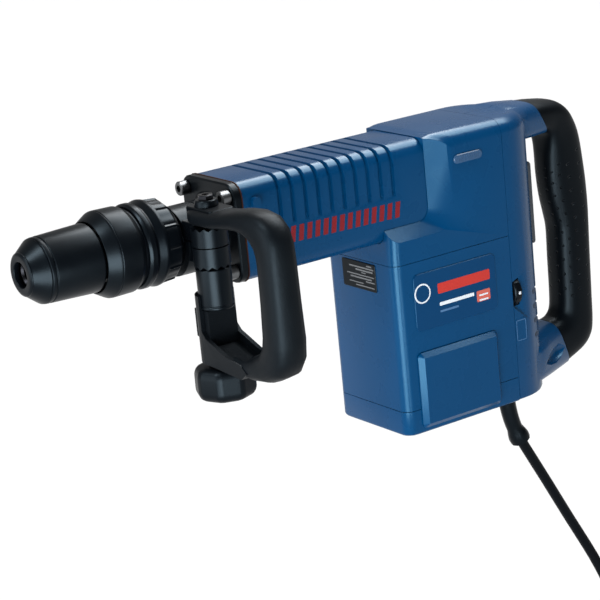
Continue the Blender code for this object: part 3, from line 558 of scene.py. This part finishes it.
def build_nose():
    turned("nose_boot", ((0.0, 10.4), (0.0, 15.4), (1.2, 17.5), (1.9, 17.4), (12.4, 25.4), (13.7, 26.3),
                         (13.7, 19.4), (5.9, 19.4), (5.9, 12.0), (3.0, 10.4)),
           RUBBER, "chuck", "rubber", "dust_cap", trim=0.7)
    turned("pull_sleeve", ((14.1, 19.5), (14.1, 25.4), (15.0, 26.4), (17.6, 26.6), (18.0, 25.9),
                           (18.8, 25.9), (19.2, 26.7), (59.6, 28.1), (61.0, 27.2), (61.0, 23.2),
                           (18.4, 23.2), (18.4, 19.5)),
           BLACK_SATIN, "sleeve", "black_gloss", "locking_sleeve", trim=0.35)
    turned("nose_collar", ((61.4, 28.7), (61.4, 29.5), (70.4, 34.8), (71.5, 35.2), (72.0, 34.7),
                           (72.5, 35.3), (90.0, 35.0), (93.6, 33.2), (94.8, 31.8), (100.0, 31.8),
                           (100.0, 19.4), (76.0, 19.4), (76.0, 28.7)),
           BLACK_SATIN, "chuck", "black_gloss", "guide_flange", trim=0.4)
    turned("angle_ring", ((97.0, 32.5), (97.0, 33.2), (99.2, 34.8), (103.4, 34.9), (105.8, 33.0),
                          (106.6, 33.0), (111.6, 35.3), (113.0, 35.5), (114.4, 35.2), (115.6, 35.0),
                          (126.4, 34.2), (131.4, 29.6), (132.2, 28.0), (132.2, 18.1), (104.0, 18.1),
                          (104.0, 32.5)),
           BLACK_GLOSS, "adjuster", "black_gloss", "vario_ring", sides=144, lobe=panel_lobe, trim=0.5)


def build_clamp_stack():
    """The sleeve round the clamp bolt, and the hand knob below it."""
    turned("pivot_sleeve", ((-49.8, 4.3), (-49.8, 13.6), (-49.0, 14.2), (-47.6, 14.2), (-47.2, 13.8),
                            (-46.6, 13.8), (-46.2, 14.2), (-17.6, 14.2), (-17.0, 13.6), (-17.0, 4.3)),
           BLACK_SATIN, "bow", "black_satin", "clamp_sleeve", POST, "Z", 72, trim=0.3)
    turned("clamp_hand_knob", ((-124.6, 4.3), (-124.6, 17.8), (-122.2, 22.6), (-118.0, 24.7),
                               (-103.0, 24.5), (-98.8, 22.6), (-96.9, 18.8), (-96.9, 4.3)),
           KNOB_LOOK, "knob", "black_plastic", "clamp_knob", POST, "Z", 128, knob_lobe, trim=2.2)
    turned("knob_hub", ((-124.9, 0.3), (-124.9, 6.8), (-124.3, 7.4), (-118.2, 7.4), (-118.2, 0.3)),
           KNOB_LOOK, "knob", "black_plastic", None, POST, "Z", 48, trim=0.3)


def build_arm_end():
    """The flat end of the bow's upper arm, with its boss and bolt head."""
    plan = rounded((POST_X - 10.8, -75.0), (POST_X + 12.0, -38.0), 3.0)
    inner = rounded((POST_X - 10.1, -74.3), (POST_X + 11.3, -38.7), 2.4)
    loops = [[(u, v, z) for u, v in outline] for outline, z in ((plan, 25.2), (plan, 31.6), (inner, 32.3))]
    piece("arm_head", *skin(loops), BLACK_SATIN, "bow", "black_matte")
    turned("arm_boss", ((32.0, 0.3), (32.0, 9.8), (36.8, 9.0), (37.6, 8.2), (37.6, 0.3)),
           BLACK_SATIN, "bow", "black_matte", None, POST, "Z", 48, trim=0.3)
    turned("bolt_head", ((37.0, 0.3), (37.0, 6.6), (40.6, 6.6), (41.4, 5.6), (41.4, 3.2), (39.0, 3.2),
                         (39.0, 0.3)),
           DARK_STEEL, "bow", "steel", None, POST, "Z", 6, trim=0.2)


def build_tray_web():
    """A wedge below the pivot sleeve, at the foot of the bow."""
    left, right, inner, outer = POST_X - 13.1, POST_X + 13.1, -39.6, -59.0
    foot = [(left, inner, -73.0), (left, outer, -79.4), (right, outer, -79.4), (right, inner, -73.0)]
    head = [(x, y, -50.3) for x, y, z in foot]
    piece("tray_web", *skin([foot, head]), BLACK_MATTE, "bow", "black_matte")


def build_grip():
    """The rubber loop of the rear grip, unrolled lengthwise and round for its dimples."""
    stations = (
        ((507.0, 40.6), (522.8, 9.4), 21.6), ((522.0, 39.2), (525.8, 7.4), 20.4),
        ((540.0, 35.8), (527.4, 2.6), 18.8), ((553.0, 27.9), (527.4, -4.6), 17.8),
        ((561.0, 16.8), (526.8, -11.6), 17.2), ((566.4, 1.9), (526.4, -20.0), 17.0),
        ((569.6, -20.0), (526.4, -33.0), 17.0), ((571.8, -44.0), (528.2, -52.0), 17.0),
        ((572.2, -66.0), (532.0, -70.0), 17.0), ((571.6, -84.0), (534.4, -84.0), 17.0),
        ((570.8, -114.0), (534.0, -110.0), 17.0), ((570.0, -151.0), (533.6, -144.0), 17.0),
        ((569.2, -176.0), (532.2, -157.0), 17.2), ((565.8, -188.6), (528.2, -162.6), 17.6),
        ((555.5, -198.6), (524.0, -164.6), 18.0), ((533.8, -207.5), (519.2, -165.4), 18.6),
    )
    sides = 64
    loops = bar(stations, 2.7, 5, sides)
    made = piece("hand_grip", *skin(loops), GRIP_RUBBER, "housing", "rubber")
    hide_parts("rear_grip")
    chart = made.data.uv_layers.new(name="wrap")
    run = 0.0
    down = [0.0]
    for a, b in zip(loops, loops[1:]):
        run += (Vector(b[0]) - Vector(a[0])).length
        down.append(run)
    for loop in made.data.loops:
        row, column = divmod(loop.vertex_index, sides)
        chart.data[loop.index].uv = (column / sides, down[row] * MM)


# ---------------------------------------------------------------- marks and small fittings
def build_label_marks():
    """Plain bars, a plain badge and a plain ring on the label panel of each side."""
    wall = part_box("label_panel_near")[0][1] / MM
    for name, level, thick in (("near", wall - LIFT, -PRINT), ("far", -wall + LIFT, PRINT)):
        mark(f"name_bar_{name}", rounded((362.0, -93.6), (419.0, -84.6), 1.2), level, thick, RED)
        mark(f"grade_bar_{name}", rounded((363.0, -104.4), (400.6, -101.4), 0.6), level, thick, WHITE)
        mark(f"class_bar_{name}", rounded((363.0, -110.2), (383.0, -108.4), 0.4), level, thick, PALE_BLUE)
        mark(f"badge_{name}", rounded((403.4, -111.2), (418.2, -101.4), 1.2), level, thick, ORANGE)
        x, z = RING_CENTRE
        for radius, look, rise in ((8.6, WHITE, 0.0), (7.2, LABEL_BLUE, 1.1)):
            disc = rounded((x - radius, z - radius), (x + radius, z + radius), radius, 12)
            mark(f"round_mark_{look.name}_{name}", disc, level + thick * rise, thick, look)
        for k in range(2):
            low = -105.4 - 4.3 * k
            outline = rounded((406.0, low - 0.9), (415.8, low + 0.5), 0.3)
            mark(f"badge_line_{k}_{name}", outline, level + thick * 1.1, thick, WHITE)


def build_stripes():
    """A row of slanted strokes along each side of the hammer housing, which sinks slightly to the rear."""
    for name, side in SIDES:
        level = side * (HAMMER_HALF_Y + LIFT)
        for k in range(STRIPES):
            x = 225.4 + STRIPE_STEP * k
            top = -6.0 - 0.027 * (x - 224.0)
            low = top - STRIPE_TALL
            outline = [(x, low), (x + 4.8, low), (x + 7.0, top), (x + 2.2, top)]
            mark(f"stripe_{k}_{name}", outline, level, side * PRINT, DEEP_RED, slot="blue_plastic")


def build_plate_lines():
    """Plain lines on the rating plate, on the front wall of the motor."""
    plate = [[c / MM for c in corner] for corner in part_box("rating_plate")]
    front = plate[0][0] - ORIGIN.x / MM - LIFT
    edge = plate[0][1] + 1.6
    top = plate[1][2] - ORIGIN.z / MM - 1.8
    for k, (start, reach, tall) in enumerate(PLATE_LINES):
        z = top - PLATE_LINE_STEP * k
        outline = rounded((edge + start, z - tall), (edge + start + reach, z), 0.2)
        mark(f"plate_line_{k}", outline, front, -0.1, PLATE_INK, plane="x", slot="black_satin")


def build_lens_and_clip():
    """Ribs on the lens, and the small clip at the front of the hammer housing."""
    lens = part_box("service_lens")[0][1] / MM
    for k in range(11):
        x = 394.0 + 2.3 * k
        outline = rounded((x, 14.4), (x + 0.9, 19.4), 0.3)
        mark(f"lens_rib_{k}", outline, lens - LIFT, -0.4, LENS_LOOK, slot="lens")
    pad("front_clip", rounded((190.8, 16.4), (198.6, 25.8), 3.4), -HAMMER_HALF_Y, -4.2, BLUE)


def build_symbol_plates():
    """A small raised plate with a printed frame on each handle shell."""
    for name, side in SIDES:
        outline = rounded((445.0, -158.4), (457.0, -137.2), 1.6)
        pad(f"symbol_plate_{name}", outline, side * HANDLE_HALF_Y, side * 1.15, BLUE)
        left, right, low, high = 445.6, 456.4, -157.2, -138.6
        frame_lines = (
            ((left, low), (left + 0.5, high)),
            ((right - 0.5, low), (right, high)),
            ((left, low), (right, low + 0.5)),
            ((left, high - 0.5), (right, high)),
        )
        for k, (a, b) in enumerate(frame_lines):
            mark(f"symbol_line_{k}_{name}", rounded(a, b, 0.2), side * (HANDLE_HALF_Y + 1.13), side * 0.1,
                 PALE_BLUE, slot="blue_plastic")


def dial_lobe(along, radius, turn):
    """Fine grooves round the rim of the dial."""
    return radius - (0.3 if radius > 13.5 and math.cos(24 * turn) > 0.2 else 0.0)


def build_dial_face():
    turned("dial_rim", ((446.4, 13.0), (446.4, 14.25), (452.0, 14.25), (452.0, 13.0)), BLACK_GLOSS, "dial",
           "black_plastic", None, (0.0, -38.0, DIAL_Z), "X", 72, dial_lobe, trim=0.3)
    outline = rounded((448.2, DIAL_Z - 1.2), (450.6, DIAL_Z + 1.6), 0.5)
    mark("dial_figure", outline, -52.3, -PRINT, WHITE, "dial", slot="black_plastic")


# ---------------------------------------------------------------- the scene
# tints of the shine on the blue and on the black mouldings
COOL = (0.32, 0.74, 1.0)
DIM = (0.62, 0.84, 1.0)
BLUE = surface("blue_moulding", (0.0001, 0.0205, 0.064), 0.28, grain=(1500.0, 0.02), mottle=0.06, shine=0.2,
               tint=COOL)
LABEL_BLUE = surface("label_blue", (0.0001, 0.0178, 0.058), 0.36, grain=(1500.0, 0.02), mottle=0.05,
                     shine=0.16, tint=COOL)
BLACK_GLOSS = surface("black_moulding", (0.0008, 0.0012, 0.0018), 0.3, grain=(1300.0, 0.02), mottle=0.3,
                      shine=0.1, tint=DIM)
BLACK_SATIN = surface("black_casting", (0.0008, 0.0012, 0.0018), 0.34, grain=(900.0, 0.03), mottle=0.3,
                      shine=0.1, tint=DIM)
BLACK_MATTE = surface("black_grained", (0.0010, 0.0014, 0.0020), 0.44, grain=(1100.0, 0.25), mottle=0.2,
                      shine=0.08, tint=DIM)
RUBBER = surface("plain_rubber", (0.0008, 0.0012, 0.0018), 0.32, grain=(900.0, 0.03), mottle=0.2, shine=0.09,
                 tint=DIM)
GRIP_RUBBER = dimpled("dimpled_rubber", (0.0008, 0.0012, 0.0018), 0.38, 15, 7.2, 84.0, 236.0)
KNOB_LOOK = surface("knob_moulding", (0.0010, 0.0014, 0.0020), 0.36, grain=(1100.0, 0.04), mottle=0.2,
                    shine=0.08, tint=DIM)
CORD_LOOK = surface("cord_sheath", (0.0012, 0.0015, 0.0020), 0.42, grain=(800.0, 0.05), mottle=0.2,
                    shine=0.06, tint=DIM)
GREY = surface("grey_moulding", (0.036, 0.042, 0.050), 0.5, grain=(900.0, 0.05), mottle=0.1, shine=0.2)
LENS_LOOK = surface("lens_moulding", (0.015, 0.042, 0.09), 0.3, grain=(600.0, 0.05), mottle=0.1, shine=0.2)
GASKET = surface("gasket_fibre", (0.02, 0.008, 0.005), 0.6, grain=(900.0, 0.05), mottle=0.3, shine=0.06)
STEEL = brushed("turned_steel", (0.22, 0.23, 0.24), 0.34)
SCREW_STEEL = brushed("screw_steel", (0.10, 0.105, 0.11), 0.36)
DARK_STEEL = brushed("dark_steel", (0.008, 0.0085, 0.010), 0.34)
ALUMINIUM = brushed("cast_aluminium", (0.66, 0.67, 0.68), 0.4)
COPPER = brushed("copper_bars", (0.72, 0.38, 0.22), 0.3)
BRASS = brushed("brass_pin", (0.75, 0.6, 0.3), 0.25)
RED = surface("red_print", (0.24, 0.014, 0.010), 0.4, grain=(1500.0, 0.01), mottle=0.08, shine=0.2)
DEEP_RED = surface("deep_red_print", (0.10, 0.002, 0.005), 0.4, grain=(1500.0, 0.01), mottle=0.08, shine=0.2)
WHITE = surface("white_print", (0.34, 0.37, 0.40), 0.45, grain=(1500.0, 0.01), mottle=0.05)
ORANGE = surface("orange_print", (0.27, 0.05, 0.034), 0.4, grain=(1500.0, 0.01), mottle=0.06)
PALE_BLUE = surface("pale_print", (0.022, 0.07, 0.15), 0.45, grain=(1500.0, 0.01), mottle=0.05)
PLATE_INK = surface("plate_print", (0.06, 0.065, 0.07), 0.45, grain=(1500.0, 0.01), mottle=0.1)

dress(BLUE, "hammer_housing", "gear_housing", "motor_housing", "motor_end_cap", "side_cover_near",
      "side_cover_far", "handle_shell_near", "handle_shell_far", edge=0.5)
dress(LABEL_BLUE, "label_panel_near", "label_panel_far")
dress(BLACK_SATIN, "front_flange", "clamp_band", edge=0.4)
dress(BLACK_SATIN, "rating_plate", "carbon_brush_near", "carbon_brush_far", "motor_fan", "switch_module",
      "control_module", "speed_dial")
dress(BLACK_MATTE, "bow_handle", edge=0.4)
dress(BLACK_MATTE, "plug_body")
dress(RUBBER, "strain_relief")
dress(GREY, "switch_paddle", edge=0.6)
dress(LENS_LOOK, "service_lens")
dress(GASKET, "front_gasket")
dress(DARK_STEEL, "tool_holder", "clamp_bolt", "clamp_washer")
dress(SCREW_STEEL, "front_screw_1", "front_screw_2", "front_screw_3", "front_screw_4")
dress(STEEL, "locking_roller_upper", "locking_roller_lower", "sleeve_spring", "cylinder_tube", "impact_bolt",
      "striker", "wrist_pin", "crank_wheel", "rotor_shaft", "rotor_core", "rotor_bearing", "stator_core")
dress(ALUMINIUM, "piston", "connecting_rod")
dress(COPPER, "commutator")
dress(BRASS, "plug_pin_1", "plug_pin_2")

build_camera()
build_studio()
build_cord(CORD_LOOK, BLACK_SATIN)
build_nose()
build_clamp_stack()
build_arm_end()
build_tray_web()
build_grip()
build_label_marks()
build_stripes()
build_plate_lines()
build_lens_and_clip()
build_symbol_plates()
build_dial_face()
